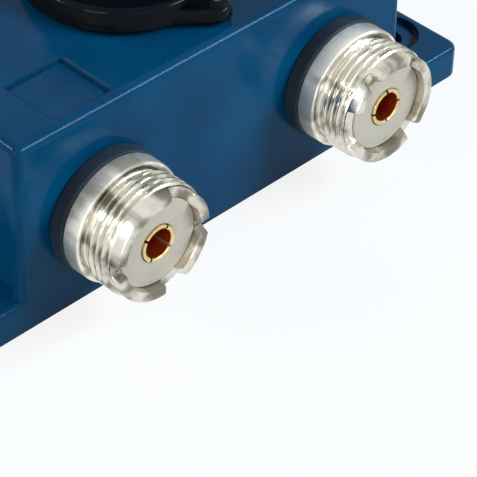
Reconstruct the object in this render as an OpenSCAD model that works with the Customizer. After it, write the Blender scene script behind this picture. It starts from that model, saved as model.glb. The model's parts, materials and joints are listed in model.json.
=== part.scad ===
// Two-way coaxial antenna switch.
// A die-cast box with two fixing ears stands on its flat underside. Two sockets for the
// antennas look out of the front face (-Y), and the common socket out of the rear face (+Y).
// A pointer knob on top turns a shaft, and the shaft swings a contact blade from one antenna
// to the other. The origin is the middle of the underside, and +Z is up.

/* [Housing] */
// Length of the box along X, at its foot
body_w = 67.8; // [66.8:0.2:80]
// Depth of the box and of the ears along Y
body_d = 37; // [35:0.5:48]
// Height of the box
body_h = 28.2; // [27:0.2:40]
// Lean of the two end walls, in degrees
draft = 1; // [0:0.1:2]
// Radius of the box's upright corners
corner_r = 1.25; // [0.5:0.05:1.4]
// Thickness of the box's walls
wall_t = 3; // [2.4:0.1:4]
// Thickness of the box's roof
roof_t = 3; // [2.6:0.1:4]

/* [Ears] */
// Length of the part over both ears
ears_w = 94.2; // [92.2:0.5:110]
// Thickness of an ear
ear_t = 5; // [3:0.25:8]
// Radius of an ear's corners
ear_r = 1.8; // [0.5:0.1:4]
// Distance of an ear hole's middle from the end of its ear
hole_in = 5.8; // [5:0.05:7]
// Distance between the ear holes along Y
hole_span_y = 19.5; // [16:0.5:24]
// Diameter of an ear hole, for a 4 mm screw
hole_d = 4.4; // [3.4:0.1:5]
// Diameter of the flat seat round an ear hole
hole_seat_d = 8.9; // [7:0.1:9.5]
// Depth of that seat
hole_seat_deep = 0.9; // [0.5:0.1:2.5]
// Radius of the round-topped niche that clears a screwdriver
niche_r = 7.3; // [4:0.1:7.4]
// Height of the niche's top
niche_top = 21.5; // [16:0.1:23]
// Depth of the niche into the end wall, at the middle of its height
niche_deep = 1.3; // [0.6:0.1:1.6]

/* [Panel] */
// Side of the shallow square sunk in the top
panel_side = 9.2; // [6:0.2:12]
// Distance of its middle from the middle of the box, along X
panel_x = 21.5; // [18:0.5:23]
// Distance of its middle from the front face
panel_in = 6.3; // [6.2:0.1:7.5]
// Depth of the square
panel_deep = 0.4; // [0.2:0.1:0.8]

/* [Sockets] */
// Distance between the two antenna sockets
port_pitch = 40.4; // [38:0.2:42]
// Height of the sockets' axes
port_z = 13.1; // [12.6:0.1:14]
// Outer diameter of the thread
thread_d = 15.875; // [15.8:0.025:16]
// Distance from the box to the end of the socket
socket_reach = 11.2; // [10.8:0.1:14]
// Diameter of the black ring behind the flange
ring_d = 17.3; // [16.9:0.1:19]
// Thickness of the black ring
ring_t = 2.1; // [1:0.1:2.5]
// Diameter of the socket's flange
flange_d = 16.74; // [16.2:0.02:18]
// Thickness of the flange
flange_t = 2.7; // [1.5:0.1:3]
// Width of the groove between flange and thread
relief_w = 0.8; // [0.5:0.1:1.2]
// Diameter of that groove
relief_d = 14.4; // [14:0.1:15]
// Diameter of the plain lip past the thread
lip_d = 15.2; // [14.4:0.1:15.6]
// Length of the plain lip
lip_l = 1.6; // [1.4:0.1:2.2]
// Depth of the four notches in the lip
notch_deep = 1.3; // [0.6:0.1:1.4]
// Width of the widest notch, in degrees
notch_wide = 48; // [20:1:60]
// Inner diameter of the socket's mouth
mouth_d = 12.2; // [11.6:0.1:12.6]
// Depth of the insulator's face behind the lip's end
face_in = 1.26; // [0.8:0.02:1.6]
// Outer diameter of the centre contact
pin_d = 5.2; // [4.8:0.1:5.6]
// Bore of the centre contact, for a 4 mm plug pin
pin_bore_d = 4; // [3.96:0.02:4.1]
// Depth of that bore
pin_bore_deep = 9; // [7:0.5:10]
// Diameter of the neck that passes through the wall
neck_d = 13.8; // [13.4:0.1:14]
// Outer diameter of the round nut on the neck
nut_d = 16.6; // [15.2:0.2:17]
// Thickness of the nut
nut_t = 2.5; // [2:0.1:3]
// Angle of the widest notch of the left socket, from +X towards +Z, in degrees
turn_1 = 55; // [0:1:359]
// Angle of the widest notch of the right socket
turn_2 = 182; // [0:1:359]
// Angle of the widest notch of the rear socket
turn_3 = 120; // [0:1:359]

/* [Knob] */
// Angle of the pointer from the middle, towards either socket, in degrees
throw_deg = 10; // [8:1:14]
// Gap between the top of the box and the knob
knob_lift = 0.5; // [0.4:0.1:1]
// Diameter of the knob's foot
knob_d = 26.4; // [24:0.2:30]
// Distance from the axis to the tip of the pointer
knob_reach = 16.95; // [16:0.05:18]
// Radius of the pointer's tip
tip_r = 2.3; // [1.5:0.1:3]
// Angle between the pointer's sides and its middle line, in degrees
pointer_lean = 41; // [35:1:46]
// Height of the pointer's edge
pointer_h = 1.9; // [1:0.1:2.6]
// Height of the knob's skirt
skirt_h = 3; // [2.6:0.1:4]
// How much smaller in radius the skirt is at its top
skirt_in = 0.6; // [0.2:0.1:1]
// Height of the whole knob
knob_h = 14.5; // [13.4:0.5:20]
// Width of the finger bar
bar_w = 11; // [10.6:0.2:13]
// Diameter of the shaft
shaft_d = 6.35; // [6:0.05:6.5]

/* [Mechanism] */
// Outer diameter of the shaft's bush
bush_d = 9.2; // [8.8:0.1:9.6]
// Diameter of the bush's flange
bush_flange_d = 11.2; // [10.6:0.1:11.4]
// Diameter of the detent plate
plate_d = 19; // [18:0.2:20]
// Thickness of the detent plate
plate_t = 1.8; // [1.4:0.1:2]
// Diameter of the detent ball
ball_d = 3; // [2.6:0.1:3.4]
// Depth of a notch in the detent plate
detent_deep = 0.6; // [0.4:0.1:0.8]
// Diameter of the stop pin
stop_d = 2; // [1.6:0.1:2.2]
// Diameter of the insulating rotor
rotor_d = 11; // [10:0.2:11.2]
// Width of the contact blade
blade_w = 2; // [1.6:0.1:2.2]
// Thickness of the contact blade
blade_t = 1; // [0.8:0.1:1.2]
// Reach of the blade from the axis towards the antenna sockets
blade_reach = 12.6; // [12:0.1:13]
// Thickness of the fixed contact strips
strip_t = 0.6; // [0.4:0.1:0.8]

/* [Cover] */
// Thickness of the bottom cover
cover_t = 1.6; // [1.2:0.1:2]
// How far the cover lies inside the underside
cover_in = 0.2; // [0.1:0.1:0.4]
// Width of the ledge that the cover rests on
ledge_w = 1.2; // [1:0.1:1.4]
// Diameter of the bosses for the cover's screws
boss_d = 6.4; // [6:0.2:6.8]
// Distance between the cover's screws along X
screw_span_x = 51.2; // [50:0.2:52]
// Distance between the cover's screws along Y
screw_span_y = 16; // [14:0.5:17]
// Diameter of the cover's screws
screw_d = 3; // [2.5:0.1:3]
// Length of the cover's screws
screw_l = 8; // [6:0.5:12]

/* [Fits] */
// Radial clearance of the shaft in its bush
run_gap = 0.05; // [0.02:0.01:0.08]
// Gap between faces that slide past each other
slide_gap = 0.1; // [0.08:0.01:0.15]
// Radial clearance of a piece fixed in its hole
seat_gap = 0.02; // [0.01:0.01:0.04]
// Clearance round a screw or a loose piece
loose_gap = 0.2; // [0.1:0.05:0.3]

/* [Hidden] */
$fn = 64;
eps = 0.01;
far = 200;

// Colours of the finishes
paint_blue = [0.05, 0.26, 0.40];
nickel = [0.72, 0.72, 0.68];
gold = [0.80, 0.62, 0.25];
ptfe = [0.86, 0.85, 0.82];
black_plastic = [0.06, 0.07, 0.08];
brass = [0.72, 0.58, 0.30];
steel = [0.55, 0.56, 0.58];
copper = [0.78, 0.50, 0.34];

// Housing
half_w = body_w / 2;
half_d = body_d / 2;
half_top_w = half_w - body_h * tan(draft);
roof_z = body_h - roof_t;
cavity_x = half_top_w - wall_t;
cavity_y = half_d - wall_t;
cavity_r = 1.5;
cover_z = cover_in + cover_t;
niche_floor_x = half_w - niche_top / 2 * tan(draft) - niche_deep;

// Places of the four ear holes and of the four cover screws
hole_span_x = ears_w - 2 * hole_in;
ear_holes = [for (x = [-1, 1], y = [-1, 1]) [x * hole_span_x / 2, y * hole_span_y / 2]];
cover_holes = [for (x = [-1, 1], y = [-1, 1]) [x * screw_span_x / 2, y * screw_span_y / 2]];
screw_core_d = screw_d - 0.5;
screw_head_d = 2 * screw_d - 0.4;
screw_head_h = (screw_head_d - screw_d) / 2;

// One socket, measured outwards from the face of the wall
flange_u = ring_t + flange_t;
thread_u = flange_u + relief_w;
lip_u = socket_reach - lip_l;
face_u = socket_reach - face_in;
throat_u = ring_t + 1.9;
throat_d = 9.2;
nut_u = -wall_t - nut_t;
neck_end_u = nut_u - 0.5;
bush_end_u = neck_end_u - 0.5;
tab_y = 9.6;
tail_y = tab_y - 0.3;
tail_u = tail_y - half_d;
tail_d = 3.2;
pin_out = 0.26;
slot_w = 0.35;
slot_l = 5;
// Angle and width of each notch in the lip, in degrees
notches = [[0, notch_wide], [-60, 14], [-129, 26], [127, 16]];

// Shaft and detent, measured down from the roof
bush_flange_t = 1;
collar_t = 0.7;
collar_d = 8.8;
collar_z = roof_z - bush_flange_t - slide_gap - collar_t;
plate_z = collar_z - plate_t;
shaft_flat = shaft_d / 2 - 0.5;
shaft_above_blade = 1.9;
shaft_low_z = port_z + blade_t / 2 + shaft_above_blade;
knob_cap_t = 5;
shaft_top_z = body_h + knob_lift + knob_h - knob_cap_t;
rotor_under_blade = 2.6;
rotor_low_z = port_z - blade_t / 2 - rotor_under_blade;
cross_pin_d = 1.5;
cross_pin_z = (shaft_low_z + plate_z) / 2;
clip_t = 0.7;
clip_z = body_h + 0.15;
clip_groove_d = shaft_d - 1.2;
clip_d = 10;
stop_at = 7;
ball_at = plate_d / 2 + slide_gap + ball_d / 2;
block_x = plate_d / 2 + 0.5;
block_l = 9.2;
block_w = 13;
block_z = plate_z + plate_t / 2 - 2.4;
block_bore_d = ball_d + 2 * run_gap;
block_bore_l = 7.4;
block_screw_d = 2.5;
block_screw_x = block_x + block_l - 3.6;
block_screw_y = 4.2;
block_screw_in = 2.2;
block_screw_core_d = block_screw_d - 0.45;
block_screw_head_d = 4.4;
block_screw_head_h = 1.5;
spring_d = ball_d - 0.4;
spring_wire_d = 0.6;
spring_in_r = spring_d / 2 - spring_wire_d;
spring_x = ball_at + sqrt(pow(ball_d / 2, 2) - pow(spring_in_r, 2)) + eps;
strip_z = port_z + blade_t / 2 + slide_gap;
blade_back = tail_y - 0.7;
pad_in = 1.3;
pad_out = pad_in + 3.4;
tab_d = tail_d + 1.6;
bar_h = 2.4;

// Knob
knob_z = body_h + knob_lift;
clip_room_d = clip_d + 2;
clip_room_h = 1.5;
insert_d = 8.4;
insert_z = knob_z + clip_room_h;
insert_l = shaft_top_z - insert_z;
set_screw_d = 3;
set_screw_z = insert_z + insert_l * 0.6;
set_screw_l = insert_d / 2 - shaft_flat - seat_gap;
set_socket_d = 1.5;
set_socket_deep = 0.8;
bar_round = 1.2;
pointer_root_y = 4;
pointer_tip_y = knob_reach - tip_r;
pointer_root_r = tip_r + (pointer_tip_y - pointer_root_y) * sin(pointer_lean);
pointer_in = 0.3;
bar_tip_h = pointer_h + 0.6;
bar_tip_in = 0.5;

// A flat plate with rounded corners, centred on Z
module rounded_plate(w, d, h, r) {
    linear_extrude(height = h) rounded_outline(w, d, r);
}

// A rectangle with rounded corners
module rounded_outline(w, d, r) {
    square([w - 2 * r, d], center = true);
    square([w, d - 2 * r], center = true);
    for (x = [-1, 1], y = [-1, 1])
        translate([x * (w / 2 - r), y * (d / 2 - r)]) circle(r = r);
}

// A cylinder between two heights
module rod(d, z0, z1) {
    translate([0, 0, z0]) cylinder(d = d, h = z1 - z0);
}

// A ring between two heights
module tube(d_out, d_in, z0, z1) {
    difference() {
        rod(d_out, z0, z1);
        rod(d_in, z0 - eps, z1 + eps);
    }
}

// Half of the drafted box: one end wall leans in, the other lies far away
module leaning_half() {
    translate([half_w, 0, 0]) rotate([0, -draft, 0]) translate([-far / 2, 0, -far / 2])
        rounded_plate(far, body_d, far, corner_r);
}

// The box with leaning ends and upright front and rear
module drafted_box() {
    intersection() {
        leaning_half();
        mirror([1, 0, 0]) leaning_half();
        translate([-far / 2, -far / 2, 0]) cube([far, far, body_h]);
    }
}

// Turns a socket's own axis (+Z) to point out of the front face
module at_front(x, turn) {
    translate([x, -half_d, port_z]) rotate([90, 0, 0]) rotate([0, 0, turn]) children();
}

// The same for the rear face
module at_rear(turn) {
    translate([0, half_d, port_z]) rotate([-90, 0, 0]) rotate([0, 0, turn]) children();
}

// Everything that turns with the knob, at its rest angle
module turned() {
    rotate([0, 0, throw_deg]) children();
}

module socket_bore() {
    rod(neck_d + 2 * seat_gap, -wall_t - 1, 1);
}

// Inside of the box, with the four screw bosses left standing
module cavity() {
    difference() {
        translate([0, 0, -1]) rounded_plate(2 * cavity_x, 2 * cavity_y, roof_z + 1, cavity_r);
        for (p = cover_holes) translate([p[0], p[1], cover_z]) boss();
    }
}

// A boss that takes a screw of the cover
module boss() {
    cylinder(d = boss_d, h = body_h);
}

module niche(x_side, y_side) {
    spring_z = niche_top - niche_r;
    translate([x_side * niche_floor_x, y_side * hole_span_y / 2, 0])
        rotate([90, 0, x_side * 90]) linear_extrude(height = 10) {
            translate([0, spring_z]) circle(r = niche_r);
            translate([-niche_r, ear_t]) square([2 * niche_r, spring_z - ear_t]);
        }
}

module housing() {
    color(paint_blue) difference() {
        union() {
            drafted_box();
            rounded_plate(ears_w, body_d, ear_t, ear_r);
        }
        cavity();
        translate([0, 0, -1])
            rounded_plate(2 * (cavity_x + ledge_w), 2 * (cavity_y + ledge_w), cover_z + 1, cavity_r + ledge_w);
        for (p = cover_holes) translate([p[0], p[1], 0]) rod(screw_core_d, 0, screw_l + 2);
        for (p = ear_holes) translate([p[0], p[1], 0]) {
            rod(hole_d, -1, ear_t + 1);
            rod(hole_seat_d, ear_t - hole_seat_deep, ear_t + 1);
        }
        for (x = [-1, 1], y = [-1, 1]) niche(x, y);
        for (x = [-1, 1]) at_front(x * port_pitch / 2, 0) socket_bore();
        at_rear(0) socket_bore();
        rod(bush_d + 2 * seat_gap, roof_z - 1, body_h + 1);
        translate([-stop_at, 0, 0]) rod(stop_d + 2 * seat_gap, roof_z - 1, roof_z + roof_t / 2);
        for (y = [-1, 1]) translate([block_screw_x, y * block_screw_y, 0])
            rod(block_screw_core_d, roof_z - 1, roof_z + block_screw_in + loose_gap);
        translate([-panel_x, panel_in - half_d, body_h - panel_deep])
            rounded_plate(panel_side, panel_side, 2, 0.5);
    }
}

module bottom_cover() {
    gap = loose_gap;
    color(paint_blue) difference() {
        translate([0, 0, cover_in])
            rounded_plate(2 * (cavity_x + ledge_w - gap), 2 * (cavity_y + ledge_w - gap), cover_t,
                cavity_r + ledge_w - gap);
        for (p = cover_holes) translate([p[0], p[1], 0]) {
            rod(screw_d + 2 * loose_gap, 0, cover_z + 1);
            translate([0, 0, cover_in]) cylinder(d1 = screw_head_d, d2 = screw_d, h = screw_head_h);
        }
    }
}

module cover_screw() {
    translate([0, 0, cover_in])
        cylinder(d1 = screw_head_d - 2 * seat_gap, d2 = screw_d - 2 * seat_gap, h = screw_head_h);
    rod(screw_core_d - 2 * seat_gap, cover_in + screw_head_h - eps, screw_l);
}

module cover_screws() {
    color(steel) for (p = cover_holes) translate([p[0], p[1], 0]) cover_screw();
}

// Black ring between the wall and the flange
module port_ring() {
    color(black_plastic) tube(ring_d, neck_d + 2 * seat_gap, 0, ring_t);
}

// Body of the socket: neck, flange, groove, thread at its full diameter, and notched lip
module port_shell() {
    color(nickel) difference() {
        union() {
            rod(neck_d, neck_end_u, ring_t);
            rod(flange_d, ring_t, flange_u);
            rod(relief_d, flange_u, thread_u);
            rod(thread_d, thread_u, lip_u);
            rod(lip_d, lip_u, socket_reach);
        }
        rod(throat_d, neck_end_u - 1, throat_u + eps);
        rod(mouth_d, throat_u, socket_reach + 1);
        for (n = notches) lip_notch(n[0], n[1]);
    }
}

module lip_notch(angle, width) {
    rotate([0, 0, angle - width / 2]) rotate_extrude(angle = width)
        translate([mouth_d / 2 - 1, socket_reach - notch_deep]) square([lip_d / 2, notch_deep + 1]);
}

module port_insulator() {
    color(ptfe) difference() {
        union() {
            rod(mouth_d - 2 * seat_gap, throat_u, face_u);
            rod(throat_d - 2 * seat_gap, bush_end_u, throat_u + eps);
        }
        rod(pin_d + 2 * seat_gap, neck_end_u + 1, face_u + 1);
        rod(tail_d + 2 * seat_gap, bush_end_u - 1, neck_end_u + 2);
    }
}

// Centre contact: a slotted tube in front and a solder tail behind
module port_contact() {
    top = face_u + pin_out;
    color(gold) difference() {
        union() {
            rod(pin_d, neck_end_u + 1, top);
            rod(tail_d, tail_u, neck_end_u + 1 + eps);
        }
        rod(pin_bore_d, top - pin_bore_deep, top + 1);
        for (a = [0, 90]) rotate([0, 0, a])
            translate([-pin_d, -slot_w / 2, top - slot_l]) cube([2 * pin_d, slot_w, slot_l + 1]);
    }
}

// Round nut with two spanner slots, on the neck inside the box
module port_nut() {
    color(nickel) difference() {
        tube(nut_d, neck_d + 2 * seat_gap, nut_u, -wall_t);
        for (a = [0, 180]) rotate([0, 0, a])
            translate([nut_d / 2 - 1, -1, nut_u - 1]) cube([2, 2, 1.8]);
    }
}

// Upright plate between a socket's tail and the middle of the box, with a foot over the blade.
// x_tail and the foot's ends are along X, and the plate stands at the front.
module side_strip(x_tail) {
    color(copper) {
        difference() {
            translate([0, -tab_y, 0]) rotate([90, 0, 0]) linear_extrude(height = strip_t) {
                translate([x_tail, port_z]) circle(d = tab_d);
                translate([pad_in, strip_z]) square([x_tail - pad_in, bar_h]);
            }
            translate([x_tail, -tab_y + 1, port_z]) rotate([90, 0, 0])
                cylinder(d = tail_d + 2 * seat_gap, h = strip_t + 2);
        }
        translate([pad_in, -blade_reach - 0.3, strip_z])
            cube([pad_out - pad_in, blade_reach + 0.3 - tab_y - strip_t / 2, strip_t]);
    }
}

module middle_strip() {
    pad_w = 7;
    pad_y = rotor_d / 2 + 0.4;
    color(copper) {
        difference() {
            translate([0, tab_y + strip_t, 0]) rotate([90, 0, 0]) linear_extrude(height = strip_t) {
                translate([0, port_z]) circle(d = tab_d);
            }
            translate([0, tab_y + strip_t + 1, port_z]) rotate([90, 0, 0])
                cylinder(d = tail_d + 2 * seat_gap, h = strip_t + 2);
        }
        difference() {
            translate([-pad_w / 2, pad_y, strip_z]) cube([pad_w, tab_y + strip_t / 2 - pad_y, strip_t]);
            translate([0, tab_y + strip_t + 1, port_z]) rotate([90, 0, 0])
                cylinder(d = tail_d + 2 * seat_gap, h = strip_t + 1.6);
        }
    }
}

module shaft_bush() {
    color(brass) difference() {
        union() {
            rod(bush_d, roof_z, body_h);
            rod(bush_flange_d, roof_z - bush_flange_t, roof_z);
        }
        rod(shaft_d + 2 * run_gap, 0, body_h + 1);
    }
}

// Round bar with one flat, between two heights
module flatted_rod(d, flat, z0, z1) {
    difference() {
        rod(d, z0, z1);
        flat_cut(d, flat, z0 - 1, z1 + 1);
    }
}

// What a flat takes off a bar
module flat_cut(d, flat, z0, z1) {
    translate([-d, flat, z0]) cube([2 * d, d, z1 - z0]);
}

module shaft() {
    color(steel) turned() difference() {
        union() {
            rod(shaft_d, shaft_low_z, shaft_top_z);
            rod(collar_d, collar_z, collar_z + collar_t);
        }
        flat_cut(shaft_d, shaft_flat, shaft_low_z - 1, collar_z);
        flat_cut(shaft_d, shaft_flat, insert_z, shaft_top_z + 1);
        tube(shaft_d + 2, clip_groove_d, clip_z - seat_gap, clip_z + clip_t + seat_gap);
        pin_hole();
    }
}

// Hole for the cross pin through rotor and shaft
module pin_hole() {
    translate([-rotor_d, 0, cross_pin_z]) rotate([0, 90, 0])
        cylinder(d = cross_pin_d + 2 * seat_gap, h = 2 * rotor_d);
}

// Spring clip with three tongues, in the shaft's groove above the bush
module retaining_clip() {
    color(steel) turned() difference() {
        rod(clip_d, clip_z, clip_z + clip_t);
        rod(clip_groove_d + 2 * seat_gap, 0, far);
        translate([-clip_groove_d / 2 + 0.3, 0, 0]) cube([clip_groove_d - 0.6, clip_d, far]);
        for (a = [-35, 215]) rotate([0, 0, a]) translate([clip_groove_d / 2 + 1, 0, 0]) rod(1.4, 0, far);
    }
}

// Skirt: a tapered disc, and the lower wedge of the pointer
module knob_skirt() {
    cylinder(d1 = knob_d, d2 = knob_d - 2 * skirt_in, h = skirt_h);
    hull() {
        translate([0, -pointer_root_y, 0])
            cylinder(r1 = pointer_root_r, r2 = pointer_root_r - pointer_in, h = pointer_h);
        translate([0, -pointer_tip_y, 0])
            cylinder(r1 = tip_r, r2 = tip_r - pointer_in, h = pointer_h);
    }
}

// Finger bar: full height from the back to the axis, then running down to the tip
module knob_bar() {
    back_y = knob_d / 2 - bar_w / 2 - skirt_in;
    top_w = bar_w - 2 * bar_round;
    hull() {
        for (y = [back_y, -0.5]) translate([0, y, 0]) {
            cylinder(d1 = bar_w, d2 = top_w, h = knob_h - 1);
            cylinder(d = top_w - 1.6, h = knob_h);
        }
        translate([0, -pointer_tip_y, 0])
            cylinder(r1 = tip_r - pointer_in, r2 = tip_r - pointer_in - bar_tip_in, h = bar_tip_h);
    }
}

module knob() {
    color(black_plastic) turned() translate([0, 0, knob_z]) difference() {
        union() {
            knob_skirt();
            knob_bar();
        }
        rod(clip_room_d, -1, clip_room_h);
        rod(insert_d + 2 * seat_gap, 0, insert_z - knob_z + insert_l);
        translate([0, 0, set_screw_z - knob_z]) rotate([-90, 0, 0]) rod(set_screw_d + 2 * loose_gap, 0, knob_d);
    }
}

module knob_insert() {
    color(brass) turned() difference() {
        rod(insert_d, insert_z, insert_z + insert_l);
        rod(shaft_d + 2 * seat_gap, 0, far);
        translate([0, 0, set_screw_z]) rotate([-90, 0, 0]) rod(set_screw_d, 0, insert_d);
    }
}

module set_screw() {
    color(steel) turned() translate([0, 0, set_screw_z]) rotate([-90, 0, 0]) difference() {
        rod(set_screw_d - 2 * seat_gap, shaft_flat + seat_gap, shaft_flat + seat_gap + set_screw_l);
        rod(set_socket_d, shaft_flat + set_screw_l - set_socket_deep, shaft_flat + set_screw_l + 1);
    }
}

// Plate with two notches for the ball and an arc slot for the stop pin
module detent_plate() {
    slot_d = stop_d + 2 * run_gap;
    notch_r = ball_d / 2 + 0.1;
    color(steel) difference() {
        rod(plate_d, plate_z, collar_z);
        turned() flatted_rod(shaft_d + 2 * seat_gap, shaft_flat + seat_gap, 0, far);
        for (a = [0, 2 * throw_deg]) rotate([0, 0, a])
            translate([plate_d / 2 - detent_deep + notch_r, 0, 0]) rod(2 * notch_r, 0, far);
        for (a = [0, 2 * throw_deg]) rotate([0, 0, 180 + a])
            translate([stop_at, 0, 0]) rod(slot_d, 0, far);
        rotate([0, 0, 180]) rotate_extrude(angle = 2 * throw_deg)
            translate([stop_at - slot_d / 2 + seat_gap, 0]) square([slot_d - 2 * seat_gap, far]);
    }
}

module stop_pin() {
    color(steel) translate([-stop_at, 0, 0]) rod(stop_d, plate_z - 0.4, roof_z + roof_t / 2);
}

module detent_block() {
    color(brass) difference() {
        translate([block_x, -block_w / 2, block_z]) cube([block_l, block_w, roof_z - block_z]);
        translate([0, 0, plate_z + plate_t / 2]) rotate([0, 90, 0])
            rod(block_bore_d, block_x - 1, block_x + block_bore_l);
        for (y = [-1, 1]) translate([block_screw_x, y * block_screw_y, 0])
            rod(block_screw_d + loose_gap, 0, far);
    }
}

module detent_block_screws() {
    color(steel) for (y = [-1, 1]) translate([block_screw_x, y * block_screw_y, 0]) {
        rod(block_screw_head_d, block_z - block_screw_head_h, block_z);
        rod(block_screw_d, block_z - eps, roof_z - 0.1);
        rod(block_screw_core_d - 2 * seat_gap, roof_z - loose_gap, roof_z + block_screw_in);
    }
}

module detent_ball() {
    color(steel) translate([ball_at, 0, plate_z + plate_t / 2]) sphere(d = ball_d);
}

// Coil spring behind the ball, drawn as the tube that its turns fill
module detent_spring() {
    color(steel) translate([0, 0, plate_z + plate_t / 2]) rotate([0, 90, 0])
        tube(spring_d, 2 * spring_in_r, spring_x, block_x + block_bore_l);
}

module rotor() {
    color(ptfe) turned() difference() {
        rod(rotor_d, rotor_low_z, plate_z);
        flatted_rod(shaft_d + 2 * seat_gap, shaft_flat + seat_gap, shaft_low_z, plate_z + 1);
        translate([-blade_w / 2 - seat_gap, -rotor_d, port_z - blade_t / 2 - seat_gap])
            cube([blade_w + 2 * seat_gap, 2 * rotor_d, blade_t + 2 * seat_gap]);
        pin_hole();
    }
}

module rotor_pin() {
    color(steel) turned() translate([0, 0, cross_pin_z]) rotate([0, 90, 0])
        rod(cross_pin_d, -rotor_d / 2 + loose_gap, rotor_d / 2 - loose_gap);
}

module contact_blade() {
    color(copper) turned() translate([-blade_w / 2, -blade_reach, port_z - blade_t / 2])
        cube([blade_w, blade_reach + blade_back, blade_t]);
}

housing();
bottom_cover();
cover_screws();
at_front(-port_pitch / 2, turn_1) port_ring();  // port_1_ring
at_front(-port_pitch / 2, turn_1) port_shell();  // port_1_shell
at_front(-port_pitch / 2, turn_1) port_insulator();  // port_1_insulator
at_front(-port_pitch / 2, turn_1) port_contact();  // port_1_contact
at_front(-port_pitch / 2, turn_1) port_nut();  // port_1_nut
mirror([1, 0, 0]) side_strip(port_pitch / 2);  // port_1_strip
at_front(port_pitch / 2, turn_2) port_ring();  // port_2_ring
at_front(port_pitch / 2, turn_2) port_shell();  // port_2_shell
at_front(port_pitch / 2, turn_2) port_insulator();  // port_2_insulator
at_front(port_pitch / 2, turn_2) port_contact();  // port_2_contact
at_front(port_pitch / 2, turn_2) port_nut();  // port_2_nut
side_strip(port_pitch / 2);  // port_2_strip
at_rear(turn_3) port_ring();  // common_ring
at_rear(turn_3) port_shell();  // common_shell
at_rear(turn_3) port_insulator();  // common_insulator
at_rear(turn_3) port_contact();  // common_contact
at_rear(turn_3) port_nut();  // common_nut
middle_strip();  // common_strip
shaft_bush();
shaft();
retaining_clip();
knob();
knob_insert();
set_screw();
detent_plate();
detent_block();
detent_block_screws();
detent_ball();
detent_spring();
stop_pin();
rotor();
rotor_pin();
contact_blade();
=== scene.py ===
# %% [markdown]
# # A two-way coaxial antenna switch
# A die-cast box holds two antenna sockets in front and a common one behind. A pointer knob on
# top swings a contact from one antenna to the other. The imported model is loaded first, because
# it fixes where every piece is. This lesson only gives the pieces their finished shapes and
# surfaces. All sizes below are in millimetres, and MM turns them into Blender's metres.

# %% Load the frame
import json
import math

import bmesh
import bpy
from mathutils import Matrix, Vector


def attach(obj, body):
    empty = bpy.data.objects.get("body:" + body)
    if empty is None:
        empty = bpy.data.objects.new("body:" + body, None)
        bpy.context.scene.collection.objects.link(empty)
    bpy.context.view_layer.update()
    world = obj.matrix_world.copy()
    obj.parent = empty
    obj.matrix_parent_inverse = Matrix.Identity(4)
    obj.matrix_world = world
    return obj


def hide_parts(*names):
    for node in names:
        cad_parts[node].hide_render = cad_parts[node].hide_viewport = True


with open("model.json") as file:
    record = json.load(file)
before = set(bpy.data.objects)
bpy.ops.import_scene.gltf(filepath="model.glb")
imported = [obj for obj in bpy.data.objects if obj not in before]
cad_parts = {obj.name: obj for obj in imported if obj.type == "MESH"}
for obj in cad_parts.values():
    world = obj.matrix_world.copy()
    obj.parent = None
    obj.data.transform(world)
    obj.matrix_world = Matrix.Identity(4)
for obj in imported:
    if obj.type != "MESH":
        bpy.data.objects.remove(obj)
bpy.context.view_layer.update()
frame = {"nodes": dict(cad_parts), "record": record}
MM = 0.001

# %% [markdown]
# ## The camera
# The camera stands at a point and is turned by an azimuth, an elevation and a small roll. These
# were worked out from straight edges and circles of the object whose sizes are known. The lens
# is long, about 11 degrees across, so the edges stay nearly parallel. There is no shift.

# %% Camera at the photograph's angle
CAMERA_AT = Vector((-176.106, -194.493, 203.244)) * MM
AZIMUTH = math.radians(-45.633)
ELEVATION = math.radians(39.720)
ROLL = math.radians(1.608)
SENSOR = 36.0
LENS = 185.89


def aim_camera():
    """Makes the camera, looking along the photograph's line of sight."""
    back = Vector((math.sin(AZIMUTH) * math.cos(ELEVATION),
                   -math.cos(AZIMUTH) * math.cos(ELEVATION), math.sin(ELEVATION)))
    right = (-back).cross(Vector((0, 0, 1))).normalized()
    up = right.cross(-back)
    right, up = (right * math.cos(ROLL) + up * math.sin(ROLL),
                 up * math.cos(ROLL) - right * math.sin(ROLL))
    data = bpy.data.cameras.new("camera")
    data.sensor_width = SENSOR
    data.lens = LENS
    data.clip_start, data.clip_end = 0.01, 20
    camera = bpy.data.objects.new("camera", data)
    turn = Matrix((right, up, back)).transposed().to_4x4()
    camera.matrix_world = Matrix.Translation(CAMERA_AT) @ turn
    bpy.context.scene.collection.objects.link(camera)
    bpy.context.scene.camera = camera
    return camera


camera = aim_camera()
print("Camera distance:", round(camera.location.length, 3), "m")

# %% [markdown]
# ## Shader sums as Python
# A procedural finish is arithmetic on numbers that change over the surface. One small class
# wraps a node's output, so that an expression such as `1 - mask * 0.3` makes the Math nodes. One
# method makes every other node, from its type, its settings and the values of its sockets.

# %% A wrapper for sockets
class Value:
    """A number that changes over a surface."""

    def __init__(self, finish, socket):
        self.finish = finish
        self.socket = socket

    def sum(self, operation, first, second):
        return self.finish.node("ShaderNodeMath", {"operation": operation}, {0: first, 1: second})

    def __add__(self, other):
        return self.sum("ADD", self, other)

    def __sub__(self, other):
        return self.sum("SUBTRACT", self, other)

    def __mul__(self, other):
        return self.sum("MULTIPLY", self, other)

    def __rsub__(self, other):
        return self.sum("SUBTRACT", other, self)

    __radd__ = __add__
    __rmul__ = __mul__


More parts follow.
